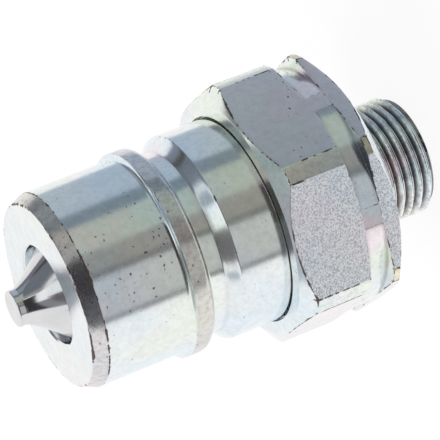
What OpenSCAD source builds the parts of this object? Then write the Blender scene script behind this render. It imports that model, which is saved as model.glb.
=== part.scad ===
// Plug half of a poppet-valve quick coupling: a turned nose body screwed into a
// hexagon adapter that ends in a male stud for a 24 degree tube fitting.
// The axis is Z. The stud end stands on Z = 0 and the nose points along +Z.

/* [Nose] */
// Diameter of the nose that slides into the socket half
nose_d = 29.3; // [28.6:0.1:30.2]
// Length of the nose from its front face to the foot of the collar
nose_l = 14.8; // [12:0.1:18]
// Diameter of the flat front face
face_d = 27.5; // [26:0.1:28.2]
// Axial length of the lead-in taper behind the front face
lead_in_l = 2.15; // [1:0.05:3]
// Diameter of the flow mouth in the front face
mouth_d = 14.8; // [13.8:0.1:15.8]
// Length of the straight mouth in front of the valve seat
mouth_l = 3.7; // [3:0.1:5]
// Chamfer on the edge of the mouth
mouth_chamfer = 0.25; // [0.1:0.05:0.4]

/* [Collar and locking groove] */
// Diameter of the collar land
collar_d = 31; // [30.4:0.1:32]
// Width of the collar land
collar_w = 1.85; // [1.2:0.05:3]
// Axial length of the curve from the collar down into the locking groove
collar_round_l = 1.3; // [0.6:0.1:2]
// Diameter of the groove floor where the locking balls sit
groove_d = 27.3; // [26.4:0.1:27.8]
// Width of the flat groove floor
groove_w = 2.1; // [1.2:0.1:4]
// Radius in the corner between the collar and the groove floor
groove_fillet = 0.5; // [0.2:0.1:0.5]
// Angle of the rear groove wall from the axis
groove_wall_a = 45; // [35:1:60]

/* [Body] */
// Diameter of the cylinder behind the groove
body_d = 30.9; // [30:0.1:32]
// Length of that cylinder in front of the hexagon
body_l = 7.5; // [5:0.1:12]
// Diameter of the valve chamber
chamber_d = 21.2; // [20.4:0.1:22]
// Diameter of the spigot that screws into the adapter
spigot_d = 26.8; // [26.2:0.1:28]
// Length of the spigot
spigot_l = 9; // [8:0.1:9.6]
// Width of the seal groove at the root of the spigot
body_seal_groove_w = 2.1; // [1.8:0.1:2.6]
// Section diameter of the body seal as fitted
body_seal_d = 1.4; // [1.2:0.05:1.6]
// Lead-in chamfer at the end of the spigot
spigot_chamfer = 0.6; // [0.3:0.1:1]

/* [Hexagon adapter] */
// Width across the flats
hex_af = 36; // [34.5:0.1:38]
// Length of the hexagon, end face to end face
hex_l = 16.8; // [16.2:0.1:22]
// Diameter that the hexagon corners are turned down to
hex_land_d = 40.1; // [39:0.1:41]
// Axial length taken by the front chamfer
hex_front_chamfer_l = 1.65; // [1:0.05:2.2]
// Radial depth of the front chamfer, measured at the corner lands
hex_front_chamfer_r = 2.4; // [1.6:0.1:2.8]
// Axial length taken by the rear chamfer
hex_rear_chamfer_l = 1.65; // [1:0.05:2]
// Radial depth of the rear chamfer, measured at the corner lands
hex_rear_chamfer_r = 2.15; // [1.4:0.05:2.6]
// Width of the ring behind the identification groove
ring_w = 2.65; // [2.3:0.05:4]
// Width of the floor of the identification groove
id_groove_w = 3; // [2:0.1:4]
// Height of the groove floor above the middle of a flat
id_groove_rise = 0.06; // [0.03:0.01:0.2]
// Axial length of the sloping front wall of that groove
id_groove_slope_l = 0.8; // [0.4:0.1:1.2]
// Depth of the recess that the body shoulder sits in
recess_l = 1.2; // [0.8:0.1:2]
// Gap around the body in that recess
recess_gap = 0.3; // [0.15:0.05:0.5]

/* [Stud] */
// Outside diameter of the stud thread
stud_d = 18; // [17:0.1:19]
// Length of the stud behind the hexagon
stud_l = 11.4; // [10:0.1:15]
// Diameter of the undercut behind the hexagon
undercut_d = 15.8; // [15.2:0.1:16.4]
// Width of the undercut
undercut_w = 1.6; // [1:0.1:2.4]
// Chamfer at the end of the stud
stud_chamfer = 0.8; // [0.5:0.1:1]
// Diameter of the socket that takes the tube
tube_socket_d = 12.1; // [11.4:0.05:12.4]
// Depth of the tube stop
tube_stop_l = 7; // [6:0.1:8]
// Diameter of the cone at the mouth of the tube socket
cone_mouth_d = 14; // [13.4:0.1:14.6]
// Half angle of that cone
cone_half_a = 12; // [10:0.5:15]
// Diameter of the flow passage through the stud
passage_d = 10; // [8:0.1:11]
// Diameter of the flow funnel under the guide
funnel_d = 19.6; // [18:0.1:21]

/* [Poppet] */
// Distance that the tip stands out of the front face
tip_out = 5.4; // [4:0.1:7]
// Diameter of the tip
tip_d = 5.4; // [4.5:0.1:6.5]
// Length of the straight part of the tip
tip_l = 1; // [0.5:0.1:2]
// Edge break on the tip
tip_edge = 0.2; // [0.1:0.05:0.4]
// Power of the flare curve, where 1 is a straight cone
flare_power = 1.21; // [1:0.01:1.6]
// Length of the straight plug in front of the seat
plug_l = 2; // [0.3:0.1:2.6]
// Radial gap between the plug and the mouth
plug_gap = 0.15; // [0.08:0.01:0.25]
// Diameter of the valve head
head_d = 18.6; // [18:0.1:19.4]
// Thickness of the rim of the valve head
head_rim_l = 1.4; // [0.8:0.1:2.5]
// Section diameter of the valve seal as fitted
valve_seal_d = 1.4; // [1.2:0.05:1.5]
// Diameter of the guided end of the stem
stem_d = 4; // [3.5:0.1:4.4]
// Diameter of the thick part of the stem, which ends the opening stroke
stem_stop_d = 6.4; // [5.6:0.1:7.2]
// Stroke from shut to fully open
stroke = 5; // [3.5:0.1:5.5]
// Length of stem below the guide when the valve is shut
stem_tail_l = 1; // [0.5:0.1:2]

/* [Spring and guide] */
// Wire diameter of the valve spring
wire_d = 1.6; // [1.2:0.1:1.9]
// Mean coil diameter of the valve spring
coil_d = 11.2; // [11:0.1:12]
// Number of turns
turns = 9; // [7:1:10]
// Thickness of the guide
guide_t = 2.6; // [2:0.1:2.8]
// Height of the boss on the guide
boss_l = 2; // [1.5:0.1:3]
// Diameter of the boss and of the spring pilot on the poppet
boss_d = 8.6; // [8:0.1:8.9]
// Height of the spring pilot on the poppet
pilot_l = 2; // [1:0.1:3]
// Diameter of the guide hub that carries the spring
hub_d = 13.6; // [13.4:0.1:14.2]
// Inner diameter of the guide rim
rim_inner_d = 20.2; // [19:0.1:21]
// Number of arms between the hub and the rim
arms = 3; // [3:1:5]
// Width of an arm
arm_w = 4; // [3:0.1:5]

/* [Clearances] */
// Radial clearance of the screwed spigot and the guide rim in the adapter
screw_gap = 0.05; // [0.03:0.01:0.1]
// Radial running clearance of the stem in the guide
stem_gap = 0.05; // [0.02:0.01:0.09]
// Clearance around a fitted seal
seal_gap = 0.03; // [0.02:0.01:0.06]
// End clearance of the spring and of the stroke stop
seat_gap = 0.1; // [0.05:0.01:0.2]

/* [Hidden] */
$fn = 96;
cut = 1;           // overshoot of a cutting tool past an open face
arc_steps = 8;     // straight steps in a quarter round
flare_steps = 20;  // straight steps in the flare of the poppet
wire_sides = 8;    // sides of the spring wire
turn_steps = 24;   // steps in one turn of the spring
seat_a = 45;       // lean of the valve seat and of the funnel

// Heights of the adapter, from the stud end
hex_rear_z = stud_l;
hex_front_z = hex_rear_z + hex_l;
ring_front_z = hex_rear_z + ring_w;
shoulder_z = hex_front_z - recess_l;
body_end_z = shoulder_z - spigot_l;
guide_z = body_end_z - guide_t;
funnel_end_z = guide_z - (funnel_d - passage_d) / 2;
cone_end_z = (cone_mouth_d - tube_socket_d) / 2 / tan(cone_half_a);
undercut_z = hex_rear_z - undercut_w;

// Heights of the body, from the hexagon up to the front face
wall_top_z = hex_front_z + body_l;
floor_end_z = wall_top_z + (body_d - groove_d) / 2 / tan(groove_wall_a);
floor_top_z = floor_end_z + groove_w;
collar_foot_z = floor_top_z + groove_fillet;
collar_z = collar_foot_z + collar_round_l;
collar_top_z = collar_z + collar_w;
collar_step = (collar_d - nose_d) / 2;
nose_z = collar_top_z + collar_step;
face_z = nose_z + nose_l;
seat_z = face_z - mouth_l;
seat_end_z = seat_z - (chamber_d - mouth_d) / 2;

// Heights and diameters of the poppet with the valve shut
plug_d = mouth_d - 2 * plug_gap;
tip_z = face_z + tip_out;
flare_z = tip_z - tip_l;
flare_end_z = seat_z + plug_l;
head_z = seat_z - (head_d - plug_d) / 2;
head_back_z = head_z - head_rim_l;
pilot_end_z = head_back_z - pilot_l;
boss_top_z = body_end_z + boss_l;
stop_z = boss_top_z + stroke + seat_gap;
stem_end_z = guide_z - stem_tail_l;

// The valve seal, set into the leaning face of the head
face_gap = plug_gap * sin(seat_a);
valve_seal_sink = valve_seal_d / 2 + seal_gap - face_gap;
valve_groove_w = valve_seal_d + 2 * seal_gap;
valve_groove_l = valve_seal_sink + valve_seal_d / 2 + seal_gap;
valve_seal_r = (plug_d + head_d) / 4;
valve_seal_z = seat_z - (valve_seal_r - plug_d / 2);

// The spigot, its seal and the bore that they fit
spigot_r = spigot_d / 2;
socket_r = spigot_r + screw_gap;
body_seal_r = socket_r - seal_gap - body_seal_d / 2;
body_groove_r = body_seal_r - body_seal_d / 2 - seal_gap;
body_groove_z = shoulder_z - body_seal_groove_w;

// The spring, between the guide and the back of the head
coil_z = body_end_z + seat_gap + wire_d / 2;
coil_rise = head_back_z - body_end_z - 2 * seat_gap - wire_d;
end_pitch = wire_d + seat_gap;
open_pitch = (coil_rise - 2 * end_pitch) / (turns - 2);

// Points on a round or oval quarter, by its centre, two half axes and two angles
function quarter(cx, cz, rx, rz, from, to) =
    [for (i = [0 : arc_steps])
        let (a = from + (to - from) * i / arc_steps)
        [cx + rx * cos(a), cz + rz * sin(a)]];

// Outside of the body, from the end of the spigot to the front face
function body_outside() = concat(
    [[spigot_r - spigot_chamfer, body_end_z],
     [spigot_r, body_end_z + spigot_chamfer],
     [spigot_r, body_groove_z],
     [body_groove_r, body_groove_z],
     [body_groove_r, shoulder_z],
     [body_d / 2, shoulder_z],
     [body_d / 2, wall_top_z],
     [groove_d / 2, floor_end_z]],
    quarter(groove_d / 2 + groove_fillet, floor_top_z,
            groove_fillet, groove_fillet, 180, 90),
    quarter(groove_d / 2 + groove_fillet, collar_z,
            (collar_d - groove_d) / 2 - groove_fillet, collar_round_l, -90, 0),
    quarter(collar_d / 2, nose_z, collar_step, collar_step, 270, 180),
    [[nose_d / 2, face_z - lead_in_l],
     [face_d / 2, face_z]]);

// Inside of the body, from the mouth to the end of the valve chamber
function body_inside() =
    [[mouth_d / 2 + mouth_chamfer, face_z],
     [mouth_d / 2, face_z - mouth_chamfer],
     [mouth_d / 2, seat_z],
     [chamber_d / 2, seat_end_z],
     [chamber_d / 2, body_end_z]];

module plug_body() {
    color([0.80, 0.81, 0.83])
        rotate_extrude()
            polygon(concat(body_outside(), body_inside()));
}

// Turned outside of the hexagon: chamfers, corner lands, ring and groove
function hex_turning() =
    let (land_r = hex_land_d / 2, floor_r = hex_af / 2 + id_groove_rise)
    [[0, hex_rear_z],
     [land_r - hex_rear_chamfer_r, hex_rear_z],
     [land_r, hex_rear_z + hex_rear_chamfer_l],
     [land_r, ring_front_z],
     [floor_r, ring_front_z],
     [floor_r, ring_front_z + id_groove_w],
     [land_r, ring_front_z + id_groove_w + id_groove_slope_l],
     [land_r, hex_front_z - hex_front_chamfer_l],
     [land_r - hex_front_chamfer_r, hex_front_z],
     [0, hex_front_z]];

// Outside of the stud, with the undercut that the thread runs out into
function stud_turning() =
    [[0, 0],
     [stud_d / 2 - stud_chamfer, 0],
     [stud_d / 2, stud_chamfer],
     [stud_d / 2, undercut_z - (stud_d - undercut_d) / 2],
     [undercut_d / 2, undercut_z],
     [undercut_d / 2, hex_rear_z + cut],
     [0, hex_rear_z + cut]];

// The way through the adapter: tube cone, tube socket, passage, funnel, screwed
// bore and body recess
function adapter_inside() =
    [[0, -cut],
     [cone_mouth_d / 2 + cut * tan(cone_half_a), -cut],
     [tube_socket_d / 2, cone_end_z],
     [tube_socket_d / 2, tube_stop_l],
     [passage_d / 2, tube_stop_l],
     [passage_d / 2, funnel_end_z],
     [funnel_d / 2, guide_z],
     [socket_r, guide_z],
     [socket_r, shoulder_z],
     [body_d / 2 + recess_gap, shoulder_z],
     [body_d / 2 + recess_gap, hex_front_z + cut],
     [0, hex_front_z + cut]];

module hex_adapter() {
    color([0.74, 0.75, 0.80])
        difference() {
            union() {
                intersection() {
                    translate([0, 0, hex_rear_z])
                        cylinder(d = hex_af / cos(30), h = hex_l, $fn = 6);
                    rotate_extrude()
                        polygon(hex_turning());
                }
                rotate_extrude()
                    polygon(stud_turning());
            }
            rotate_extrude()
                polygon(adapter_inside());
        }
}

module body_seal() {
    color([0.10, 0.10, 0.11])
        translate([0, 0, shoulder_z - body_seal_groove_w / 2])
            rotate_extrude()
                translate([body_seal_r, 0])
                    circle(d = body_seal_d);
}

// Turned outside of the guide: rim, hub and boss, bored for the stem
function guide_turning() =
    let (bore_r = stem_d / 2 + stem_gap)
    [[bore_r, guide_z],
     [spigot_r, guide_z],
     [spigot_r, body_end_z],
     [boss_d / 2, body_end_z],
     [boss_d / 2, boss_top_z],
     [bore_r, boss_top_z]];

// The windows of the guide: a ring between hub and rim, less the arms
module guide_windows() {
    difference() {
        rotate_extrude()
            translate([hub_d / 2, guide_z - cut])
                square([(rim_inner_d - hub_d) / 2, guide_t + 2 * cut]);
        for (i = [0 : arms - 1])
            rotate([0, 0, (i + 0.5) * 360 / arms])
                translate([0, -arm_w / 2, guide_z - 2 * cut])
                    cube([spigot_r, arm_w, guide_t + 4 * cut]);
    }
}

// A spider that carries the stem and lets the flow past
module valve_guide() {
    color([0.72, 0.70, 0.62])
        difference() {
            rotate_extrude()
                polygon(guide_turning());
            guide_windows();
        }
}

// Height of the wire after a number of turns: close end turns, open middle turns
function wire_z(turn) =
    coil_z + end_pitch * min(turn, 1)
    + open_pitch * min(max(turn - 1, 0), turns - 2)
    + end_pitch * max(turn - (turns - 1), 0);

// Corners of the wire section at one step of the coil
function wire_ring(step) =
    [for (side = [0 : wire_sides - 1])
        let (a = 360 * side / wire_sides,
             turn = step / turn_steps,
             r = coil_d / 2 + wire_d / 2 * cos(a))
        [r * cos(360 * turn), r * sin(360 * turn), wire_z(turn) + wire_d / 2 * sin(a)]];

module valve_spring() {
    steps = turns * turn_steps;
    points = [for (step = [0 : steps]) each wire_ring(step)];
    start = [for (side = [0 : wire_sides - 1]) side];
    end = [for (side = [0 : wire_sides - 1]) (steps + 1) * wire_sides - 1 - side];
    skin = [for (step = [0 : steps - 1], side = [0 : wire_sides - 1])
        let (next = (side + 1) % wire_sides, here = step * wire_sides)
        [here + side, here + wire_sides + side, here + wire_sides + next, here + next]];
    color([0.62, 0.63, 0.66])
        polyhedron(points, concat([start, end], skin));
}

// Radius of the flare at a share of its length: a hollow curve that opens
// towards the seat
function flare_r(share) = tip_d / 2 + (plug_d - tip_d) / 2 * pow(share, flare_power);

function poppet_outside() = concat(
    [[0, tip_z],
     [tip_d / 2 - tip_edge, tip_z],
     [tip_d / 2, tip_z - tip_edge]],
    [for (i = [0 : flare_steps])
        [flare_r(i / flare_steps), flare_z + (flare_end_z - flare_z) * i / flare_steps]],
    [[plug_d / 2, seat_z],
     [head_d / 2, head_z],
     [head_d / 2, head_back_z],
     [boss_d / 2, head_back_z],
     [boss_d / 2, pilot_end_z],
     [stem_stop_d / 2, pilot_end_z],
     [stem_stop_d / 2, stop_z],
     [stem_d / 2, stop_z],
     [stem_d / 2, stem_end_z],
     [0, stem_end_z]]);

// Places a flat shape on the leaning face of the head, its X axis along the normal
module on_seat_face() {
    rotate_extrude()
        translate([valve_seal_r, valve_seal_z])
            rotate(seat_a)
                children();
}

module poppet() {
    color([0.84, 0.84, 0.85])
        difference() {
            rotate_extrude()
                polygon(poppet_outside());
            on_seat_face()
                translate([-valve_groove_l, -valve_groove_w / 2])
                    square([valve_groove_l + cut, valve_groove_w]);
        }
}

module valve_seal() {
    color([0.10, 0.10, 0.11])
        on_seat_face()
            translate([-valve_seal_sink, 0])
                circle(d = valve_seal_d);
}

hex_adapter();
plug_body();
body_seal();
valve_guide();
valve_spring();
poppet();
valve_seal();
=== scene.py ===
import math

import bmesh
import bpy
from bpy.props import (FloatProperty, FloatVectorProperty, IntProperty, PointerProperty)
from mathutils import Matrix, Vector


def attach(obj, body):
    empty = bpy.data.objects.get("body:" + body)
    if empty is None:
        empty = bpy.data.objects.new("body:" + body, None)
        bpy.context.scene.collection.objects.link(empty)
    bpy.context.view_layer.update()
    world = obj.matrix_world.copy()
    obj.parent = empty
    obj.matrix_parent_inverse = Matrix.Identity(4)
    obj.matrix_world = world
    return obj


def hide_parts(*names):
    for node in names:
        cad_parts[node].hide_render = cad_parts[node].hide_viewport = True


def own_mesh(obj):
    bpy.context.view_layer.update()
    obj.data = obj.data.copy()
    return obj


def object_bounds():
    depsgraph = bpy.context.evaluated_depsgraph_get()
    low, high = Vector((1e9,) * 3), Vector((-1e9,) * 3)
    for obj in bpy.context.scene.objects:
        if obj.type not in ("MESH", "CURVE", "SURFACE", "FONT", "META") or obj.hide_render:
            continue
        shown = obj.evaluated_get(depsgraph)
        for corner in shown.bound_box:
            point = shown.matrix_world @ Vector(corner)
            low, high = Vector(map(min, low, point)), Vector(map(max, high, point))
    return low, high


bl_info = {
    "name": "Liquid Cooling Plug Coupling",
    "version": (1, 0, 0),
    "blender": (4, 5, 0),
    "location": "View3D > Sidebar > Coupling",
    "description": "Builds the looks of a poppet-valve plug coupling over its packed model",
    "category": "Object",
}

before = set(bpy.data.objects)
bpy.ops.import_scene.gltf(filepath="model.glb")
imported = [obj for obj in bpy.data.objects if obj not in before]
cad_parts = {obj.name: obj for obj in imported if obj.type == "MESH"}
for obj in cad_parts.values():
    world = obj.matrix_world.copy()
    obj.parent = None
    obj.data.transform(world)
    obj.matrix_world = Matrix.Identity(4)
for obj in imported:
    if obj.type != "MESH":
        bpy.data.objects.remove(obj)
CAD_LOW, CAD_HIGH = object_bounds()

MM = 0.001

# Finishes of the adapter's surfaces, in the order of its material slots
TURNED, GROUND_FLAT, BLASTED_FLAT, CORNER_LAND, RING_LAND, BORE = range(6)
# Finishes of the nose body's surfaces, in the order of its material slots
PLAIN, RUBBED, FRONT_FACE, GROOVED = range(4)


# ---------------------------------------------------------------------------
# Sizes and colours
# ---------------------------------------------------------------------------

def length(name, text, value, low=0.0):
    """A size in metres, from millimetres."""
    return FloatProperty(name=name, description=text, default=value * MM, min=low,
                         precision=5, unit="LENGTH", subtype="DISTANCE")


def colour(name, text, value):
    """A linear colour."""
    return FloatVectorProperty(name=name, description=text, default=value, size=3,
                               min=0.0, max=1.0, subtype="COLOR")


class CouplingNoseSizes(bpy.types.PropertyGroup):
    """Nose, collar, locking groove and body cylinder."""
    nose_radius: length("Nose radius", "Radius of the nose that slides into the socket half", 14.65)
    nose_length: length("Nose length", "From the front face to the foot of the collar", 14.8)
    face_radius: length("Face radius", "Radius of the flat front face", 13.75)
    lead_in: length("Lead-in", "Length of the taper behind the front face", 2.15)
    collar_radius: length("Collar radius", "Radius of the collar land", 15.5)
    collar_width: length("Collar width", "Width of the collar land", 1.85)
    collar_round: length("Collar round", "Length of the curve from the collar to the groove", 1.3)
    groove_radius: length("Groove radius", "Radius of the locking groove's floor", 13.65)
    groove_width: length("Groove width", "Width of the flat groove floor", 2.1)
    groove_fillet: length("Groove fillet", "Radius between the collar and the groove floor", 0.5)
    body_radius: length("Body radius", "Radius of the cylinder behind the groove", 15.45)
    body_length: length("Body length", "Length of that cylinder in front of the hexagon", 7.5)
    mouth_radius: length("Mouth radius", "Radius of the flow mouth", 7.4)
    mouth_length: length("Mouth length", "Length of the mouth in front of the valve seat", 3.7)
    mouth_chamfer: length("Mouth chamfer", "Chamfer on the edge of the mouth", 0.25)
    chamber_radius: length("Chamber radius", "Radius of the valve chamber", 10.6)
    spigot_radius: length("Spigot radius", "Radius of the spigot screwed into the adapter", 13.4)
    spigot_length: length("Spigot length", "Length of that spigot", 9.0)
    spigot_chamfer: length("Spigot chamfer", "Lead-in chamfer at the end of the spigot", 0.6)
    seal_groove: length("Seal groove", "Width of the seal groove at the root of the spigot", 2.1)
    seal_floor: length("Seal groove radius", "Radius of the floor of that groove", 11.99)


class CouplingAdapterSizes(bpy.types.PropertyGroup):
    """Hexagon adapter and threaded stud."""
    half_flats: length("Half across flats", "From the axis to a wrench flat", 18.0)
    hex_length: length("Hexagon length", "From end face to end face", 16.8)
    land_radius: length("Corner land radius", "Radius that the corners are turned down to", 20.05)
    front_chamfer_l: length("Front chamfer length", "Axial length of the front chamfer", 1.65)
    front_chamfer_r: length("Front chamfer depth", "Radial depth of the front chamfer", 2.4)
    rear_chamfer_l: length("Rear chamfer length", "Axial length of the rear chamfer", 1.65)
    rear_chamfer_r: length("Rear chamfer depth", "Radial depth of the rear chamfer", 2.15)
    ring_width: length("Ring width", "Width of the ring behind the marking groove", 2.65)
    mark_width: length("Marking groove width", "Width of the marking groove's floor", 3.0)
    mark_rise: length("Marking groove rise", "Height of that floor above the middle of a flat", 0.06)
    mark_slope: length("Marking groove slope", "Length of the sloping front wall", 0.8)
    recess_depth: length("Recess depth", "Depth of the recess round the body", 1.2)
    recess_gap: length("Recess gap", "Gap round the body in that recess", 0.3)
    socket_radius: length("Socket radius", "Radius of the bore that takes the spigot", 13.45)
    stud_radius: length("Stud radius", "Outside radius of the stud's thread", 9.0)
    stud_root: length("Thread root radius", "Root radius of the stud's thread", 8.08)
    stud_pitch: length("Thread pitch", "Pitch of the stud's thread", 1.5)
    stud_length: length("Stud length", "From the stud's end to the hexagon", 11.4)
    stud_chamfer: length("Stud chamfer", "Chamfer at the end of the stud", 0.8)
    undercut_radius: length("Undercut radius", "Radius of the undercut behind the hexagon", 7.9)
    undercut_width: length("Undercut width", "Width of that undercut", 1.6)
    cone_radius: length("Cone mouth radius", "Mouth radius of the 24 degree cone", 7.0)
    tube_radius: length("Tube socket radius", "Radius of the socket that takes the tube", 6.05)
    tube_stop: length("Tube stop", "Depth of the tube stop", 7.0)
    passage_radius: length("Passage radius", "Radius of the flow passage", 5.0)
    funnel_radius: length("Funnel radius", "Radius of the flow funnel under the guide", 9.8)
    guide_z: length("Guide height", "Height of the guide's rear face", 15.4)


class CouplingValveSizes(bpy.types.PropertyGroup):
    """Poppet, its stem and the valve spring."""
    tip_out: length("Tip reach", "Distance that the tip stands out of the front face", 5.4)
    tip_radius: length("Tip radius", "Radius of the tip", 2.7)
    tip_length: length("Tip length", "Length of the straight part of the tip", 1.0)
    flare_power: FloatProperty(name="Flare power", default=1.21, min=1.0, max=2.0,
                               description="Power of the flare curve; 1 is a straight cone")
    plug_length: length("Plug length", "Length of the straight plug in front of the seat", 2.0)
    plug_radius: length("Plug radius", "Radius of the plug in the mouth", 7.25)
    head_radius: length("Head radius", "Radius of the valve head", 9.3)
    head_rim: length("Head rim", "Thickness of the rim of the valve head", 1.4)
    boss_radius: length("Pilot radius", "Radius of the spring pilot", 4.3)
    pilot_length: length("Pilot length", "Height of the spring pilot", 2.0)
    stop_radius: length("Stop radius", "Radius of the thick part of the stem", 3.2)
    stop_z: length("Stop height", "Height of the shoulder that ends the stroke", 25.1)
    stem_radius: length("Stem radius", "Radius of the guided end of the stem", 2.0)
    stem_z: length("Stem end height", "Height of the end of the stem", 14.4)
    wire_radius: length("Wire radius", "Radius of the spring wire", 0.8)
    coil_radius: length("Coil radius", "Mean radius of the valve spring", 5.6)
    coil_turns: IntProperty(name="Turns", default=9, min=4, max=14,
                            description="Number of turns of the valve spring")
    spring_low: length("Spring seat", "Height of the spring's rear end", 18.1)
    spring_high: length("Spring top", "Height of the spring's front end", 51.65)


class CouplingFinish(bpy.types.PropertyGroup):
    """Colours of the finishes."""
    zinc: colour("Zinc", "Plain colour of the bright zinc plating", (0.85, 0.87, 0.87))
    zinc_blue: colour("Blue sheen", "Bluish patches of the plating", (0.77, 0.85, 0.90))
    zinc_green: colour("Green sheen", "Greenish patches of the plating", (0.84, 0.89, 0.82))
    zinc_pink: colour("Pink sheen", "Pinkish patches of the plating", (0.90, 0.82, 0.85))
    # One dark brown for rubbed edges and pits, and for the painted shade in hollow corners and thread
    # roots
    wear_and_shade: colour("Worn edge and painted shade", "Dark brown of rubbed and chipped edges and of painted shade in hollows", (0.13, 0.10, 0.09))
    steel: colour("Steel", "Bare polished steel of the valve", (0.74, 0.74, 0.75))
    rubber: colour("Rubber", "Seal rubber", (0.02, 0.02, 0.022))
    bloom: colour("Bloom", "Faint grey bloom on the seal rubber", (0.09, 0.09, 0.095))
    floor: colour("Floor", "Pale floor", (0.93, 0.93, 0.93))


class CouplingCamera(bpy.types.PropertyGroup):
    """Place and lens of the camera."""
    azimuth: FloatProperty(name="Azimuth", default=math.radians(21.5), subtype="ANGLE",
                           description="Direction that the camera stands in, from -Y towards +X")
    elevation: FloatProperty(name="Elevation", default=math.radians(20.25), subtype="ANGLE",
                             description="Height of the camera above the horizon")
    roll: FloatProperty(name="Roll", default=math.radians(-111.8), subtype="ANGLE",
                        description="Turn of the camera about its line of sight")
    distance: length("Distance", "From the camera to the point it looks at", 427.0)
    aim_x: FloatProperty(name="Aim X", default=0.8 * MM, unit="LENGTH", precision=5,
                         description="Point that the camera looks at, across")
    aim_y: FloatProperty(name="Aim Y", default=0.3 * MM, unit="LENGTH", precision=5,
                         description="Point that the camera looks at, in depth")
    aim_z: length("Aim height", "Height of the point that the camera looks at", 30.7)
    lens: FloatProperty(name="Lens", default=243.0, min=20.0, max=600.0,
                        description="Focal length in millimetres on a 36 mm sensor")


def sizes():
    """The property groups that hold the sizes: nose, adapter and valve."""
    scene = bpy.context.scene
    return scene.coupling_nose, scene.coupling_adapter, scene.coupling_valve


# ---------------------------------------------------------------------------
# Turned and milled shapes
# ---------------------------------------------------------------------------

class Corner:
    """A corner of a turned section: radius and height in metres, and how it is broken."""

    def __init__(self, r, z, fillet=0.12 * MM, finish=TURNED, kink=0.0, wear=0.6):
        self.r, self.z = r, z
        self.fillet = fillet      # radius of the edge break
        self.finish = finish      # finish of the surface that starts here
        self.kink = kink          # 0 to 1: how dark an edge is that crosses here: wear at a corner land's edge, a painted shade line at the marking groove's run-out
        self.wear = wear          # 0 to 1: how much the edge is rubbed; in a hollow corner, how deep its painted shade is


FLARE_STEPS = 28                  # steps along the poppet's flare
ARC_STEPS = 4                     # steps in the round of an edge break
MERGE = 0.0002 * MM               # distance under which points become one
SHOULDER = 0.50 * MM              # width over which the edge mask fades out


def broken(corners):
    """A closed section with its corners rounded: rows of (r, z, edge, finish, kink)."""
    rows = []
    count = len(corners)
    spots = [Vector((c.r, c.z)) for c in corners]
    area = sum(spots[i - 1].cross(spots[i]) for i in range(count))
    for i, here in enumerate(corners):
        before = corners[i - 1]
        if here.fillet == 0.0:
            rows.append((here.r, here.z, 0.0, here.finish, here.kink))
            continue
        p = spots[i]
        a, b = spots[i - 1] - p, spots[(i + 1) % count] - p
        reach_a, reach_b = a.length * 0.45, b.length * 0.45
        a, b = unit_or(a, Vector((0, 1))), unit_or(b, Vector((0, -1)))
        half = math.acos(max(-1.0, min(1.0, a.dot(b)))) / 2
        cut = min(here.fillet / max(math.tan(half), 1e-3), reach_a * 0.7, reach_b * 0.7)
        bulge = -1.0 if a.cross(b) * area > 0 else 1.0
        # Positive on an outer edge, for wear; negative in a hollow corner, where it paints shade
        sharp = bulge * here.wear * min(1.0, (math.pi - 2 * half) / 0.35)
        start, end = p + a * cut, p + b * cut
        rows.append((*(p + a * min(reach_a, cut + SHOULDER)), 0.0, before.finish, here.kink))
        for step in range(ARC_STEPS + 1):
            t = step / ARC_STEPS
            spot = start * (1 - t) ** 2 + p * 2 * t * (1 - t) + end * t ** 2
            finish = before.finish if t < 0.5 else here.finish
            rows.append((*spot, sharp, finish, here.kink))
        rows.append((*(p + b * min(reach_b, cut + SHOULDER)), 0.0, here.finish, here.kink))
    return rows


def unit_or(vector, spare):
    """The vector at length one, or the spare where it has no length."""
    return vector.normalized() if vector.length > 1e-9 else spare


def arc(cx, cz, rx, rz, start, end, finish=0, steps=10):
    """Corners along a round or oval quarter, left unbroken."""
    spots = []
    for i in range(steps + 1):
        a = math.radians(start + (end - start) * i / steps)
        spots.append(Corner(cx + rx * math.cos(a), cz + rz * math.sin(a), 0.0, finish))
    return spots


def closed(bm, mesh):
    """Merges doubles, turns the faces outwards and writes the result into a mesh."""
    bmesh.ops.remove_doubles(bm, verts=bm.verts, dist=MERGE)
    bmesh.ops.recalc_face_normals(bm, faces=bm.faces)
    bm.to_mesh(mesh)
    bm.free()
    return mesh


def turned_mesh(name, section, angles):
    """Closed mesh from a section that may change with the angle. section(angle) gives
    corners; every angle has the same number of them."""
    mesh = bpy.data.meshes.new(name)
    bm = bmesh.new()
    # edge marks the rubbed edges; the second layer marks the hollow corners that get painted shade
    edge_layer = bm.verts.layers.float.new("edge")
    nook_shade_layer = bm.verts.layers.float.new("nook_shade")
    columns, finishes = [], []
    for angle in angles:
        rows = broken(section(angle))
        column = []
        for r, z, edge, finish, kink in rows:
            vert = bm.verts.new((r * math.cos(angle), r * math.sin(angle), z))
            vert[edge_layer] = max(edge, 0.0, kink)
            vert[nook_shade_layer] = max(-edge, 0.0)
            column.append(vert)
        columns.append(column)
        finishes.append([row[3] for row in rows])
    for c, column in enumerate(columns):
        following = columns[(c + 1) % len(columns)]
        for i in range(len(column)):
            j = (i + 1) % len(column)
            face = bm.faces.new((column[i], following[i], following[j], column[j]))
            face.material_index = finishes[c][i]
            face.smooth = True
    return closed(bm, mesh)


def off_flat(angle):
    """Angle from the middle of the nearest flat; one faces each 60 degrees from 30."""
    off = (angle - math.radians(30)) % math.radians(60)
    return min(off, math.radians(60) - off)


def even_angles(count):
    """Angles spread evenly round the axis."""
    return [2 * math.pi * i / count for i in range(count)]


def new_object(name, data):
    """An object in the scene's collection."""
    thing = bpy.data.objects.new(name, data)
    bpy.context.scene.collection.objects.link(thing)
    return thing


def place(name, mesh, materials, body, slot, *nodes):
    """Links a finished mesh as a piece that rides on a body and stands for CAD nodes."""
    piece = new_object(name, mesh)
    for material in materials:
        piece.data.materials.append(material)
    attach(piece, body)
    if nodes:
        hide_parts(*nodes)
    return piece


# ---------------------------------------------------------------------------
# Sections of the pieces
# ---------------------------------------------------------------------------

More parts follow.
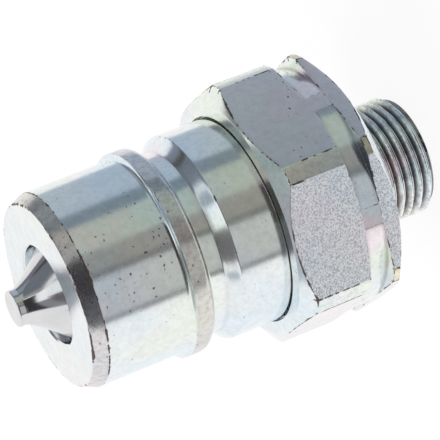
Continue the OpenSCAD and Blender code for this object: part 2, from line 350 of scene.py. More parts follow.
def body_section(nose, adapter):
    """Corners of the nose body, from the spigot forward and back through the bore."""
    hex_front = adapter.stud_length + adapter.hex_length
    shoulder = hex_front - adapter.recess_depth
    back = shoulder - nose.spigot_length
    wall_top = hex_front + nose.body_length
    floor_end = wall_top + nose.body_radius - nose.groove_radius
    floor_top = floor_end + nose.groove_width
    foot = floor_top + nose.groove_fillet
    collar_low = foot + nose.collar_round
    collar_top = collar_low + nose.collar_width
    step = nose.collar_radius - nose.nose_radius
    nose_z = collar_top + step
    face = nose_z + nose.nose_length
    seat = face - nose.mouth_length
    seat_end = seat - (nose.chamber_radius - nose.mouth_radius)
    outside = [
        Corner(nose.spigot_radius - nose.spigot_chamfer, back),
        Corner(nose.spigot_radius, back + nose.spigot_chamfer),
        Corner(nose.spigot_radius, shoulder - nose.seal_groove),
        Corner(nose.seal_floor, shoulder - nose.seal_groove),
        Corner(nose.seal_floor, shoulder),
        Corner(nose.body_radius, shoulder),
        Corner(nose.body_radius, wall_top, 0.2 * MM, GROOVED, wear=0.75),
        Corner(nose.groove_radius, floor_end, 0.2 * MM, GROOVED, wear=0.3),
        *arc(nose.groove_radius + nose.groove_fillet, floor_top,
             nose.groove_fillet, nose.groove_fillet, 180, 90, GROOVED),
        *arc(nose.groove_radius + nose.groove_fillet, collar_low,
             nose.collar_radius - nose.groove_radius - nose.groove_fillet,
             nose.collar_round, -88, 0, RUBBED),
        Corner(nose.collar_radius, collar_top, 0.15 * MM, PLAIN, wear=0.7),
        *arc(nose.collar_radius, nose_z, step, step, 266, 184, PLAIN, 6),
        Corner(nose.nose_radius, face - nose.lead_in, 0.25 * MM, RUBBED, wear=1.0),
        Corner(nose.face_radius, face, 0.2 * MM, FRONT_FACE, wear=0.9),
    ]
    inside = [
        Corner(nose.mouth_radius + nose.mouth_chamfer, face, 0.08 * MM, wear=0.0),
        Corner(nose.mouth_radius, face - nose.mouth_chamfer, 0.08 * MM, wear=0.0),
        Corner(nose.mouth_radius, seat),
        Corner(nose.chamber_radius, seat_end),
        Corner(nose.chamber_radius, back),
    ]
    return outside + inside


def flat_distance(adapter, angle):
    """Radius of the hexagon at an angle."""
    return adapter.half_flats / math.cos(off_flat(angle))


def land_edge(adapter):
    """How far from the middle of a flat its corner land starts."""
    return math.acos(adapter.half_flats / adapter.land_radius)


def soft_min(a, b, width):
    """The smaller of two lengths, eased over a width where they cross."""
    h = max(0.0, min(1.0, 0.5 + 0.5 * (b - a) / width))
    return b * (1 - h) + a * h - width * h * (1 - h)


def adapter_section(nose, adapter, angle):
    """Corners of the adapter at one angle: hexagon where a flat cuts, land where it doesn't."""
    flat = flat_distance(adapter, angle)
    land = adapter.land_radius
    out = soft_min(flat, land, 0.03 * MM)
    on_flat = flat < land
    floor_r = adapter.half_flats + adapter.mark_rise
    floor_out = min(floor_r, out)
    rear = adapter.stud_length
    front = rear + adapter.hex_length
    ring_front = rear + adapter.ring_width
    mark_end = ring_front + adapter.mark_width
    front_slope = adapter.front_chamfer_l / adapter.front_chamfer_r
    rear_slope = adapter.rear_chamfer_l / adapter.rear_chamfer_r
    front_foot, rear_foot = land - adapter.front_chamfer_r, land - adapter.rear_chamfer_r
    mark_slope = adapter.mark_slope / (land - floor_r)
    side = flat_finish(angle) if on_flat else CORNER_LAND
    undercut = rear - adapter.undercut_width
    root_run_in = adapter.stud_root - adapter.undercut_radius
    recess = nose.body_radius + adapter.recess_gap
    shoulder = front - adapter.recess_depth
    funnel_end = adapter.guide_z - (adapter.funnel_radius - adapter.passage_radius)
    cone_end = (adapter.cone_radius - adapter.tube_radius) / math.tan(math.radians(12))
    stud = [
        Corner(adapter.stud_root, 0.0, 0.08 * MM),
        Corner(adapter.stud_root, undercut - root_run_in, 0.1 * MM),
        Corner(adapter.undercut_radius, undercut, 0.1 * MM),
        Corner(adapter.undercut_radius, rear, 0.15 * MM),
    ]
    # run_out draws a painted shade line where the marking groove's floor runs out on the flat; bend
    # marks the worn edge of a corner land
    bend, run_out = crossing_edges(adapter, angle)
    ring_side = side if on_flat else RING_LAND
    hexagon = [
        Corner(rear_foot, rear, 0.12 * MM, wear=0.7),
        Corner(out, rear + (out - rear_foot) * rear_slope, 0.10 * MM, ring_side, bend, 0.9),
        Corner(out, ring_front, 0.08 * MM, TURNED, bend, 0.9),
        Corner(floor_out, ring_front, 0.05 * MM, TURNED, run_out, 0.9),
        Corner(floor_out, mark_end, 0.08 * MM, TURNED, run_out, 0.6),
        Corner(out, mark_end + (out - floor_out) * mark_slope, 0.08 * MM, side, bend, 0.7),
        Corner(out, front - (out - front_foot) * front_slope, 0.12 * MM, TURNED, bend, 1.0),
        Corner(front_foot, front, 0.10 * MM, wear=0.3),
        Corner(recess, front, 0.08 * MM, BORE, wear=0.2),
    ]
    inside = [
        Corner(recess, shoulder, 0.08 * MM, BORE),
        Corner(adapter.socket_radius, shoulder, 0.05 * MM, BORE),
        Corner(adapter.socket_radius, adapter.guide_z, 0.05 * MM, BORE),
        Corner(adapter.funnel_radius, adapter.guide_z, 0.05 * MM, BORE),
        Corner(adapter.passage_radius, funnel_end, 0.1 * MM, BORE),
        Corner(adapter.passage_radius, adapter.tube_stop, 0.1 * MM, BORE),
        Corner(adapter.tube_radius, adapter.tube_stop, 0.1 * MM, BORE),
        Corner(adapter.tube_radius, cone_end, 0.1 * MM, BORE),
        Corner(adapter.cone_radius, 0.0, 0.08 * MM),
    ]
    return stud + hexagon + inside


def flat_finish(angle):
    """Every second wrench flat is blasted, the others are ground."""
    flat = int(((math.degrees(angle)) % 360) // 60)
    return BLASTED_FLAT if flat % 2 == 0 else GROUND_FLAT


def run_out_angle(adapter):
    """How far from the middle of a flat the marking groove runs out."""
    return math.acos(adapter.half_flats / (adapter.half_flats + adapter.mark_rise))


def adapter_angles(adapter):
    """Angles with extra columns where the flats meet the corner lands."""
    bend = land_edge(adapter)
    out = run_out_angle(adapter)
    sixth = math.radians(60)
    steps = [-0.03, -0.012, -0.005, -0.002, 0.0, 0.002, 0.005, 0.012, 0.03]
    angles = []
    for flat in range(6):
        middle = math.radians(30) + flat * sixth
        inner = bend - 0.03
        angles += [middle - inner + 2 * inner * i / 24 for i in range(1, 24)]
        angles += [middle + side * out + step for side in (-1, 1) for step in (-0.008, 0.0, 0.008)]
        angles += [middle + bend + step for step in steps]
        land = math.radians(30) - bend - 0.03
        angles += [middle + bend + 0.03 + 2 * land * i / 4 for i in range(1, 4)]
        angles += [middle + sixth - bend + step for step in steps]
    return sorted(a % (2 * math.pi) for a in angles)


def crossing_edges(adapter, angle):
    """How close an angle is to a corner land's edge, and to the marking groove's run-out."""
    off = off_flat(angle)
    at_land = 1.5 - abs(off - land_edge(adapter)) / 0.01
    at_run_out = 1.3 - abs(off - run_out_angle(adapter)) / 0.01
    return 0.95 * max(0.0, min(1.0, at_land)), 0.9 * max(0.0, min(1.0, at_run_out))


def poppet_section(nose, adapter, valve):
    """Corners of the poppet from the tip back to the end of the stem, and up the axis."""
    face = face_height(nose, adapter)
    tip = face + valve.tip_out
    seat = face - nose.mouth_length
    flare_top, flare_end = tip - valve.tip_length, seat + valve.plug_length
    head = seat - (valve.head_radius - valve.plug_radius)
    back = head - valve.head_rim
    flare = []
    for i in range(FLARE_STEPS + 1):
        share = i / FLARE_STEPS
        r = valve.tip_radius + (valve.plug_radius - valve.tip_radius) * share ** valve.flare_power
        fillet = 0.25 * MM if i == 0 else 0.0
        flare.append(Corner(r, flare_top + (flare_end - flare_top) * share, fillet))
    return [
        Corner(0.0, tip, 0.0),
        Corner(valve.tip_radius, tip, 0.22 * MM),
        *flare,
        Corner(valve.plug_radius, seat, 0.1 * MM),
        Corner(valve.head_radius, head, 0.1 * MM),
        Corner(valve.head_radius, back, 0.1 * MM),
        Corner(valve.boss_radius, back, 0.1 * MM),
        Corner(valve.boss_radius, back - valve.pilot_length, 0.2 * MM),
        Corner(valve.stop_radius, back - valve.pilot_length, 0.1 * MM),
        Corner(valve.stop_radius, valve.stop_z, 0.1 * MM),
        Corner(valve.stem_radius, valve.stop_z, 0.1 * MM),
        Corner(valve.stem_radius, valve.stem_z, 0.2 * MM),
        Corner(0.0, valve.stem_z, 0.0),
    ]


def face_height(nose, adapter):
    """Height of the front face of the nose."""
    groove = nose.body_radius - nose.groove_radius + nose.groove_width + nose.groove_fillet
    collar = nose.collar_round + nose.collar_width + nose.collar_radius - nose.nose_radius
    hex_front = adapter.stud_length + adapter.hex_length
    return hex_front + nose.body_length + groove + collar + nose.nose_length


# ---------------------------------------------------------------------------
# Node helpers
# ---------------------------------------------------------------------------

class Field:
    """A node's result. Arithmetic with it adds Math nodes to its tree."""

    def __init__(self, socket):
        self.socket = socket
        self.tree = socket.id_data

    def __add__(self, other):
        return calc(self.tree, "ADD", self, other)

    def __sub__(self, other):
        return calc(self.tree, "SUBTRACT", self, other)

    def __rsub__(self, other):
        return calc(self.tree, "SUBTRACT", other, self)

    def __mul__(self, other):
        return calc(self.tree, "MULTIPLY", self, other)

    def __truediv__(self, other):
        return calc(self.tree, "DIVIDE", self, other)

    __radd__ = __add__
    __rmul__ = __mul__


def fill(socket, value):
    """Links a result to a socket, or sets the socket to a plain value."""
    if isinstance(value, Field):
        value = value.socket
    if isinstance(value, bpy.types.NodeSocket):
        socket.id_data.links.new(value, socket)
    else:
        socket.default_value = value


def add(tree, kind, inputs=None, **settings):
    """A new node with its settings, and its inputs linked or set by name or number."""
    node = tree.nodes.new(kind)
    for key, value in settings.items():
        setattr(node, key, value)
    for key, value in (inputs or {}).items():
        fill(node.inputs[key], value)
    return node


def calc(tree, operation, *values, clamp=False):
    """The result of a Math node."""
    return Field(add(tree, "ShaderNodeMath", dict(enumerate(values)),
                     operation=operation, use_clamp=clamp).outputs[0])


def vector(tree, operation, *values, output="Vector"):
    """The result of a Vector Math node."""
    return Field(add(tree, "ShaderNodeVectorMath", dict(enumerate(values)),
                     operation=operation).outputs[output])


def remap(tree, value, low, high, to_low=0.0, to_high=1.0):
    """A value moved smoothly from one range to another."""
    return Field(add(tree, "ShaderNodeMapRange",
                     {0: value, 1: low, 2: high, 3: to_low, 4: to_high},
                     interpolation_type="SMOOTHSTEP").outputs[0])


def blend_colour(tree, factor, first, second, kind="MIX"):
    """Two colours mixed by a factor."""
    return add(tree, "ShaderNodeMix", {0: factor, 6: first, 7: second},
               data_type="RGBA", blend_type=kind).outputs[2]


def tinted(tree, first, second):
    """Two colours multiplied."""
    return blend_colour(tree, 1.0, first, second, "MULTIPLY")


def grey(tree, value):
    """A value as a neutral colour."""
    return add(tree, "ShaderNodeCombineColor", {0: value, 1: value, 2: value}).outputs[0]


def noise(tree, spot, scale, detail=3.0, rough=0.5):
    """A noise value."""
    return Field(add(tree, "ShaderNodeTexNoise", {
        "Vector": spot, "Scale": scale, "Detail": detail, "Roughness": rough,
    }).outputs["Fac"])


def off_axis(tree, spot):
    """How far a place is from the object's axis, and its height."""
    axes = add(tree, "ShaderNodeSeparateXYZ", {0: spot}).outputs
    across = add(tree, "ShaderNodeCombineXYZ", {0: axes[0], 1: axes[1]}).outputs[0]
    return vector(tree, "LENGTH", across, output="Value"), Field(axes[2])


def ends(tree):
    """The tree's inputs by name, and its output node."""
    into = tree.nodes.new("NodeGroupInput").outputs
    return {socket.name: Field(socket) for socket in into}, tree.nodes.new("NodeGroupOutput")


def new_group(name, inputs, outputs):
    """An empty shader group with named sockets, its inputs by name and its output node."""
    tree = bpy.data.node_groups.new(name, "ShaderNodeTree")
    for label, kind, value in inputs:
        socket = tree.interface.new_socket(name=label, in_out="INPUT", socket_type=kind)
        socket.default_value = value
    for label, kind in outputs:
        tree.interface.new_socket(name=label, in_out="OUTPUT", socket_type=kind)
    return tree, *ends(tree)


def placed(tree, name, inputs):
    """The outputs of a shader group that is placed with its own values."""
    node = tree.nodes.new("ShaderNodeGroup")
    node.node_tree = bpy.data.node_groups[name]
    for key, value in inputs.items():
        fill(node.inputs[key], value)
    return {socket.name: Field(socket) for socket in node.outputs}


def cleared_tree(owner):
    """The emptied node tree of a material or a world."""
    owner.use_nodes = True
    owner.node_tree.nodes.clear()
    return owner.node_tree


def show(tree, shader, output="ShaderNodeOutputMaterial"):
    """Links a shader to a new output of the tree."""
    add(tree, output, {0: shader.outputs[0]})


# ---------------------------------------------------------------------------
# Shader groups that the finishes share
# ---------------------------------------------------------------------------

FLOAT, COLOUR, PLACE = "NodeSocketFloat", "NodeSocketColor", "NodeSocketVector"


def rgba(values):
    """A colour with full alpha."""
    return (*values, 1.0)


def make_sheen_group(finish):
    """Zinc plating whose colour drifts between blue, green and pink."""
    tree, into, out = new_group(
        "plating_sheen",
        [("Place", PLACE, (0, 0, 0)), ("Zinc", COLOUR, rgba(finish.zinc)),
         ("Blue", COLOUR, rgba(finish.zinc_blue)), ("Green", COLOUR, rgba(finish.zinc_green)),
         ("Pink", COLOUR, rgba(finish.zinc_pink)), ("Scale", FLOAT, 60.0),
         ("Strength", FLOAT, 1.0)],
        [("Color", COLOUR)])
    spot, scale, tone = into["Place"], into["Scale"], into["Zinc"]
    broad = noise(tree, spot, scale, 1.0)
    other = noise(tree, vector(tree, "ADD", spot, (0.31, 0.17, 0.23)), scale)
    fine = noise(tree, spot, scale * 12.0, 4.0, 0.6)
    for name, drift, low, high in (("Blue", broad, 0.45, 0.62), ("Green", broad, 0.52, 0.38),
                                   ("Pink", other, 0.54, 0.66)):
        share = calc(tree, "MULTIPLY", remap(tree, drift, low, high), into["Strength"], clamp=True)
        tone = blend_colour(tree, share, tone, into[name])
    shade = grey(tree, remap(tree, fine, 0.3, 0.7, 0.955, 1.03))
    fill(out.inputs["Color"], tinted(tree, tone, shade))


def make_wear_and_nook_shade_group():
    """Broken dark wear along the edges, from the piece's own edge attribute, and painted
    shade in its hollow corners, from its nook_shade attribute.
    """
    tree, into, out = new_group(
        "edge_wear",
        [("Place", PLACE, (0, 0, 0)), ("Scale", FLOAT, 900.0), ("Amount", FLOAT, 0.5),
         ("Softness", FLOAT, 0.10)],
        [("Mask", FLOAT), ("Nook shade", FLOAT)])
    edge = Field(add(tree, "ShaderNodeAttribute", attribute_name="edge").outputs["Fac"])
    nook_shade = add(tree, "ShaderNodeAttribute", attribute_name="nook_shade").outputs["Fac"]
    broad = noise(tree, into["Place"], into["Scale"] * 0.22, rough=0.6)
    fine = noise(tree, into["Place"], into["Scale"], rough=0.65)
    ragged = broad * 1.7 + fine * 1.3
    level = (edge - 2.5) + (ragged + into["Amount"])
    fill(out.inputs["Mask"], remap(tree, level, 0.0, into["Softness"]))
    fill(out.inputs["Nook shade"], nook_shade)


def make_pit_group():
    """Small dark pits and nicks, thickest round one rubbed place."""
    tree, into, out = new_group(
        "pits",
        [("Place", PLACE, (0, 0, 0)), ("Scale", FLOAT, 1600.0), ("Amount", FLOAT, 0.2),
         ("Centre", PLACE, (0, 0, 0)), ("Reach", FLOAT, 0.01), ("Extra", FLOAT, 0.0)],
        [("Mask", FLOAT)])
    spot, scale = into["Place"], into["Scale"]
    off = vector(tree, "DISTANCE", spot, into["Centre"], output="Value")
    near = into["Extra"] * remap(tree, off / into["Reach"], 1.0, 0.2)
    wobble = add(tree, "ShaderNodeTexNoise",
                 {"Vector": spot, "Scale": scale * 1.7, "Detail": 2.0}).outputs["Color"]
    long = vector(tree, "MULTIPLY", spot, (1.0, 1.0, 1.35))
    bent = vector(tree, "ADD", long, vector(tree, "MULTIPLY", wobble, (0.5 * MM,) * 3))
    spots = add(tree, "ShaderNodeTexVoronoi",
                {"Vector": bent, "Scale": scale, "Randomness": 1.0}).outputs
    chance = add(tree, "ShaderNodeSeparateColor", {0: spots["Color"]}).outputs
    crowd = noise(tree, spot, scale * 0.12, rough=0.6)
    level = Field(chance[0]) * 0.55 + (crowd + (into["Amount"] + near))
    chosen = remap(tree, level, 1.20, 1.36)
    wide = remap(tree, chance[1], 0.0, 1.0, 0.10, 0.34)
    inside = remap(tree, Field(spots["Distance"]) / wide, 1.15, 0.7)
    fill(out.inputs["Mask"], calc(tree, "MULTIPLY", inside, chosen, clamp=True))


def make_turning_group():
    """Fine rings left by the lathe, with some deeper than others."""
    tree, into, out = new_group(
        "turning_rings",
        [("Place", PLACE, (0, 0, 0)), ("Pitch", FLOAT, 0.00014)],
        [("Height", FLOAT)])
    radius, height = off_axis(tree, into["Place"])
    along = (height + radius * 0.7) / into["Pitch"]
    rings = add(tree, "ShaderNodeTexNoise",
                {"W": along, "Scale": 1.0, "Detail": 2.0, "Roughness": 0.6},
                noise_dimensions="1D").outputs[0]
    drift = noise(tree, into["Place"], 220.0, 2.0)
    fill(out.inputs["Height"], Field(rings) * remap(tree, drift, 0.35, 0.65, 0.35, 1.0))


# ---------------------------------------------------------------------------
# Materials
# ---------------------------------------------------------------------------

def new_material(name):
    """An empty material with a Principled shader; returns it, its tree, inputs and place."""
    material = bpy.data.materials.new(name)
    tree = cleared_tree(material)
    shader = tree.nodes.new("ShaderNodeBsdfPrincipled")
    show(tree, shader)
    return material, tree, shader.inputs, tree.nodes.new("ShaderNodeTexCoord").outputs["Object"]


def plated(name, finish, rough=0.2, rings=0.0, grain=0.0, grain_scale=2200.0, brush=0.0,
           pits=0.16, rubbed=None, wear=0.0, nook_shade=0.35, sheen=1.0, mottle=0.05,
           tint=(1.0, 1.0, 1.0), deep=0.03 * MM, speckle=0.0, root_shade=None):
    """Zinc plating on one kind of surface: how rough, ringed, grained, pitted and worn, and
    how strongly nook_shade paints shade into hollow corners. rubbed gives a place that is
    pitted more than the rest, and root_shade two radii between which painted shade on a
    thread's flanks goes from dark to bright."""
    material, tree, shader, spot = new_material(name)
    tone = placed(tree, "plating_sheen", {"Place": spot, "Strength": sheen})["Color"]
    wear_and_shade = placed(tree, "edge_wear", {"Place": spot, "Amount": wear})
    pit_values = {"Place": spot, "Amount": pits}
    if rubbed:
        pit_values.update({"Centre": rubbed, "Reach": 14 * MM, "Extra": 0.22})
    pit = placed(tree, "pits", pit_values)["Mask"]
    grains = noise(tree, spot, grain_scale, 2.0, 0.6)
    smudge = noise(tree, spot, 170.0, 4.0, 0.6)
    patchy = noise(tree, spot, 1300.0, 4.0, 0.65)
    shade = remap(tree, patchy, 0.34, 0.60, 1.0 - mottle, 1.0 + mottle * 0.3)
    if speckle:
        shade = shade * remap(tree, grains, 0.40, 0.56, 1.0 - speckle, 1.12)
    tone = tinted(tree, tinted(tree, tone, grey(tree, shade)), rgba(tint))
    # The same dark brown paints worn edges and pits, and painted shade in hollows and thread roots
    dark = rgba(finish.wear_and_shade)
    # Painted shade: a thread's flanks darken towards the root radius
    if root_shade:
        radius, _ = off_axis(tree, spot)
        tone = blend_colour(tree, remap(tree, radius, root_shade[1], root_shade[0], 0.0, 0.75), tone, dark)
    # Pits and worn edges are real marks; the hollow-corner mask is painted shade
    for share in (pit * 0.8, wear_and_shade["Nook shade"] * nook_shade, wear_and_shade["Mask"]):
        tone = blend_colour(tree, share, tone, dark)
    fill(shader["Base Color"], tone)
    fill(shader["Metallic"], 1.0 - wear_and_shade["Mask"] * 0.35)
    dull = calc(tree, "MAXIMUM", wear_and_shade["Mask"], pit) * 0.25
    fill(shader["Roughness"], remap(tree, smudge, 0.3, 0.7, rough * 0.9, rough * 1.1) + dull)
    height = grains * grain
    if rings:
        height = height + placed(tree, "turning_rings", {"Place": spot})["Height"] * rings
    if brush:
        drawn_out = vector(tree, "MULTIPLY", spot, (4.0, 4.0, 0.12))
        height = height + noise(tree, drawn_out, 900.0, rough=0.6) * brush
    height = height - pit * 0.5 - wear_and_shade["Mask"] * 0.3
    bump = add(tree, "ShaderNodeBump", {"Height": height, "Strength": 0.6, "Distance": deep})
    fill(shader["Normal"], bump.outputs[0])
    return material


def polished_steel(name, finish, rough=0.11):
    """Bare polished steel with fine rings."""
    material, tree, shader, spot = new_material(name)
    # Only the worn edges here; the poppet gets no painted shade
    wear_and_shade = placed(tree, "edge_wear", {"Place": spot, "Amount": -0.05})["Mask"]
    smudge = noise(tree, spot, 350.0, rough=0.6)
    tone = tinted(tree, rgba(finish.steel), grey(tree, remap(tree, smudge, 0.3, 0.7, 0.92, 1.0)))
    fill(shader["Base Color"], blend_colour(tree, wear_and_shade * 0.7, tone, rgba(finish.wear_and_shade)))
    fill(shader["Metallic"], 1.0)
    fill(shader["Roughness"], remap(tree, smudge, 0.3, 0.7, rough * 0.8, rough * 1.3))
    ring = placed(tree, "turning_rings", {"Place": spot, "Pitch": 0.2 * MM})["Height"]
    bump = add(tree, "ShaderNodeBump", {"Height": ring, "Strength": 0.15, "Distance": 0.004 * MM})
    fill(shader["Normal"], bump.outputs[0])
    return material


def seal_rubber(name, finish):
    """Matt black rubber with a faint bloom."""
    material, tree, shader, spot = new_material(name)
    bloom = noise(tree, spot, 900.0, 4.0, 0.6)
    dusty = remap(tree, bloom, 0.45, 0.75, 0.0, 0.35)
    fill(shader["Base Color"], blend_colour(tree, dusty, rgba(finish.rubber), rgba(finish.bloom)))
    fill(shader["Roughness"], remap(tree, bloom, 0.3, 0.7, 0.45, 0.65))
    return material


def adapter_materials(finish):
    """The adapter's materials, in the order of its finishes."""
    return [
        plated("adapter_turned", finish, rough=0.18, rings=0.12, grain=0.08, wear=0.08),
        plated("adapter_ground_flat", finish, rough=0.24, grain=0.12, brush=0.15, wear=0.08,
               tint=(1.02, 0.94, 0.95), sheen=0.4, pits=0.24, mottle=0.03),
        plated("adapter_blasted_flat", finish, rough=0.32, grain=3.4, grain_scale=5200.0,
               wear=0.08, tint=(1.06, 1.07, 1.17), mottle=0.0, deep=0.08 * MM, sheen=0.5,
               speckle=0.36),
        plated("adapter_corner_land", finish, rough=0.22, brush=0.6, mottle=0.12, wear=0.08,
               tint=(1.0, 1.0, 0.97)),
        plated("adapter_ring_land", finish, rough=0.28, brush=0.6, mottle=0.2, wear=0.1,
               tint=(1.0, 0.88, 0.68)),
        # The bore's hollow corners, in the recess round the body, get the darkest painted shade
        plated("adapter_bore", finish, rough=0.3, rings=0.6, wear=-0.4, nook_shade=0.7),
    ]


def thread_material(finish, adapter):
    """Plating of the stud's thread, dull, with painted shade darkening its roots."""
    return plated("adapter_thread", finish, rough=0.26, rings=1.6, grain=0.4, mottle=0.3,
                  root_shade=(adapter.stud_root + 0.15 * MM, adapter.stud_radius - 0.02 * MM))


def nose_materials(finish):
    """The nose body's materials, in the order of its finishes."""
    rubbed = Vector((5.0, -13.4, 52.0)) * MM
    return [
        plated("nose_plating", finish, rough=0.17, rings=0.10, grain=0.16, grain_scale=4200.0,
               rubbed=rubbed, wear=0.05, pits=0.20, mottle=0.05),
        plated("nose_rubbed", finish, rough=0.22, rings=0.25, grain=0.25, grain_scale=3000.0,
               rubbed=rubbed, mottle=0.16, wear=0.05, tint=(0.86, 0.80, 0.79), pits=0.25),
        plated("nose_front_face", finish, rough=0.20, rings=0.05, grain=0.05, pits=0.08,
               sheen=0.4, mottle=0.0, wear=0.10),
        plated("nose_groove", finish, rough=0.15, rings=0.15, grain=0.08, sheen=1.5, mottle=0.05,
               wear=0.1),
    ]


# ---------------------------------------------------------------------------
# Geometry node trees
# ---------------------------------------------------------------------------

def new_geometry_tree(name, inputs):
    """A geometry tree with named inputs; returns it, its inputs by name and its output node."""
    tree = bpy.data.node_groups.new(name, "GeometryNodeTree")
    tree.interface.new_socket(name="Geometry", in_out="INPUT", socket_type="NodeSocketGeometry")
    for label, kind, value in inputs:
        socket = tree.interface.new_socket(name=label, in_out="INPUT", socket_type=kind)
        if value is not None:
            socket.default_value = value
    tree.interface.new_socket(name="Geometry", in_out="OUTPUT", socket_type="NodeSocketGeometry")
    return tree, *ends(tree)


HELIX_STEPS = 72.0                # steps in one turn of a helix


def helix_line(tree, into, turn, height):
    """A helix of the given radius: turn and height are fields along the line."""
    line = add(tree, "GeometryNodeCurvePrimitiveLine").outputs[0]
    line = add(tree, "GeometryNodeResampleCurve",
               {"Curve": line, "Count": into["Turns"] * HELIX_STEPS}).outputs[0]
    angle = turn * (2 * math.pi)
    spot = add(tree, "ShaderNodeCombineXYZ",
               {0: into["Radius"] * calc(tree, "COSINE", angle),
                1: into["Radius"] * calc(tree, "SINE", angle), 2: height}).outputs[0]
    line = add(tree, "GeometryNodeSetPosition", {"Geometry": line, "Position": spot}).outputs[0]
    return add(tree, "GeometryNodeSetCurveNormal", {"Curve": line}, mode="Z_UP").outputs[0]


def turns_so_far(tree, into):
    """How many turns a place along the line has behind it."""
    share = add(tree, "GeometryNodeSplineParameter").outputs["Factor"]
    return Field(share) * into["Turns"]


def swept(tree, line, section):
    """A closed solid with the section's outline all along a line."""
    return add(tree, "GeometryNodeCurveToMesh",
               {"Curve": line, "Profile Curve": section, "Fill Caps": True}).outputs[0]


def finish_tree(tree, geometry, material, out):
    """Realizes, shades smooth and gives the material."""
    geometry = add(tree, "GeometryNodeRealizeInstances", {0: geometry}).outputs[0]
    geometry = add(tree, "GeometryNodeSetShadeSmooth", {0: geometry}).outputs[0]
    geometry = add(tree, "GeometryNodeSetMaterial", {0: geometry, "Material": material}).outputs[0]
    fill(out.inputs[0], geometry)


def make_thread_tree():
    """A helical ridge that a chamfer and a run-out cut back at its two ends."""
    tree, into, out = new_geometry_tree("screw_thread", [
        ("Radius", FLOAT, 0.008), ("Depth", FLOAT, 0.001), ("Pitch", FLOAT, 0.0015),
        ("Turns", FLOAT, 6.0), ("Low", FLOAT, 0.0), ("High", FLOAT, 0.0098),
        ("Chamfer", FLOAT, 0.0008), ("Material", "NodeSocketMaterial", None)])
    turn = turns_so_far(tree, into)
    line = helix_line(tree, into, turn, (into["Low"] - into["Pitch"]) + turn * into["Pitch"])
    ridge = add(tree, "GeometryNodeCurvePrimitiveCircle", {"Resolution": 8}).outputs[0]
    number = Field(tree.nodes.new("GeometryNodeInputIndex").outputs[0])
    across = pick(tree, number, (0.5, 0.46, 0.10, 0.05, -0.05, -0.10, -0.46, -0.5))
    up = pick(tree, number, (-0.10, 0.0, 0.93, 1.0, 1.0, 0.93, 0.0, -0.10))
    section = add(tree, "ShaderNodeCombineXYZ",
                  {0: up * into["Depth"], 1: across * into["Pitch"]}).outputs[0]
    ridge = add(tree, "GeometryNodeSetPosition", {0: ridge, "Position": section}).outputs[0]
    here = add(tree, "ShaderNodeSeparateXYZ",
               {0: tree.nodes.new("GeometryNodeInputPosition").outputs[0]}).outputs
    x, y = Field(here[0]), Field(here[1])
    reach = calc(tree, "SQRT", x * x + y * y)
    crest = into["Radius"] + into["Depth"]
    z = calc(tree, "MAXIMUM", calc(tree, "MINIMUM", here[2], into["High"]), into["Low"])
    foot = (crest + z) - (into["Chamfer"] + into["Low"])
    head = into["Radius"] + ((into["High"] - z) - 0.2 * MM)
    cap = calc(tree, "MINIMUM", crest, calc(tree, "MINIMUM", foot, head))
    scale = calc(tree, "MINIMUM", reach, cap) / reach
    spot = add(tree, "ShaderNodeCombineXYZ", {0: x * scale, 1: y * scale, 2: z}).outputs[0]
    mesh = add(tree, "GeometryNodeSetPosition",
               {0: swept(tree, line, ridge), "Position": spot}).outputs[0]
    finish_tree(tree, mesh, into["Material"], out)


def pick(tree, number, values):
    """The value that belongs to a whole number, from a short list."""
    total = 0.0
    for i, value in enumerate(values):
        if value:
            total = total + calc(tree, "COMPARE", number, float(i), 0.1) * value
    return total


def make_spring_tree():
    """A compression spring with closed end turns."""
    tree, into, out = new_geometry_tree("valve_spring", [
        ("Radius", FLOAT, 0.0056), ("Wire", FLOAT, 0.0008), ("Turns", FLOAT, 9.0),
        ("Low", FLOAT, 0.018), ("High", FLOAT, 0.0517), ("Material", "NodeSocketMaterial", None)])
    turn = turns_so_far(tree, into)
    shut = into["Wire"] * 2.1
    rise = (into["High"] - into["Low"]) - into["Wire"] * 2.0
    middle = into["Turns"] - 2.0
    pitch = (rise - shut * 2.0) / middle
    first = calc(tree, "MINIMUM", turn, 1.0)
    open_turns = calc(tree, "MINIMUM", calc(tree, "MAXIMUM", turn - 1.0, 0.0), middle)
    last = calc(tree, "MAXIMUM", turn - (into["Turns"] - 1.0), 0.0)
    height = (into["Low"] + into["Wire"] + first * shut) + (open_turns * pitch + last * shut)
    wire = add(tree, "GeometryNodeCurvePrimitiveCircle",
               {"Resolution": 16, "Radius": into["Wire"]}).outputs[0]
    mesh = swept(tree, helix_line(tree, into, turn, height), wire)
    finish_tree(tree, mesh, into["Material"], out)


def grown(name, tree_name, inputs, body, slot, *nodes):
    """A plain mesh piece from a geometry tree with its inputs set."""
    holder = new_object(name + "_maker", bpy.data.meshes.new(name + "_seed"))
    modifier = holder.modifiers.new(name, "NODES")
    modifier.node_group = bpy.data.node_groups[tree_name]
    sockets = {item.name: item.identifier
               for item in modifier.node_group.interface.items_tree if item.in_out == "INPUT"}
    for label, value in inputs.items():
        modifier[sockets[label]] = value
    graph = bpy.context.evaluated_depsgraph_get()
    mesh = bpy.data.meshes.new_from_object(holder.evaluated_get(graph))
    holder.modifiers.clear()
    bpy.data.objects.remove(holder)
    mesh.name = name
    bm = bmesh.new()
    bm.from_mesh(mesh)
    return place(name, closed(bm, mesh), [], body, slot, *nodes)


# ---------------------------------------------------------------------------
# Stage
# ---------------------------------------------------------------------------

WHITE = (1.0, 1.0, 1.0, 1.0)
ROOM_LEVEL = 0.55                 # strength of the room's soft light
FLOOR_GLOW = 0.92                 # how much of the floor's white is its own, to the eye
CARD_REACH = 0.8                  # from the cards' centre to the cards, in metres
CARD_CENTRE = 0.03                # height of that centre


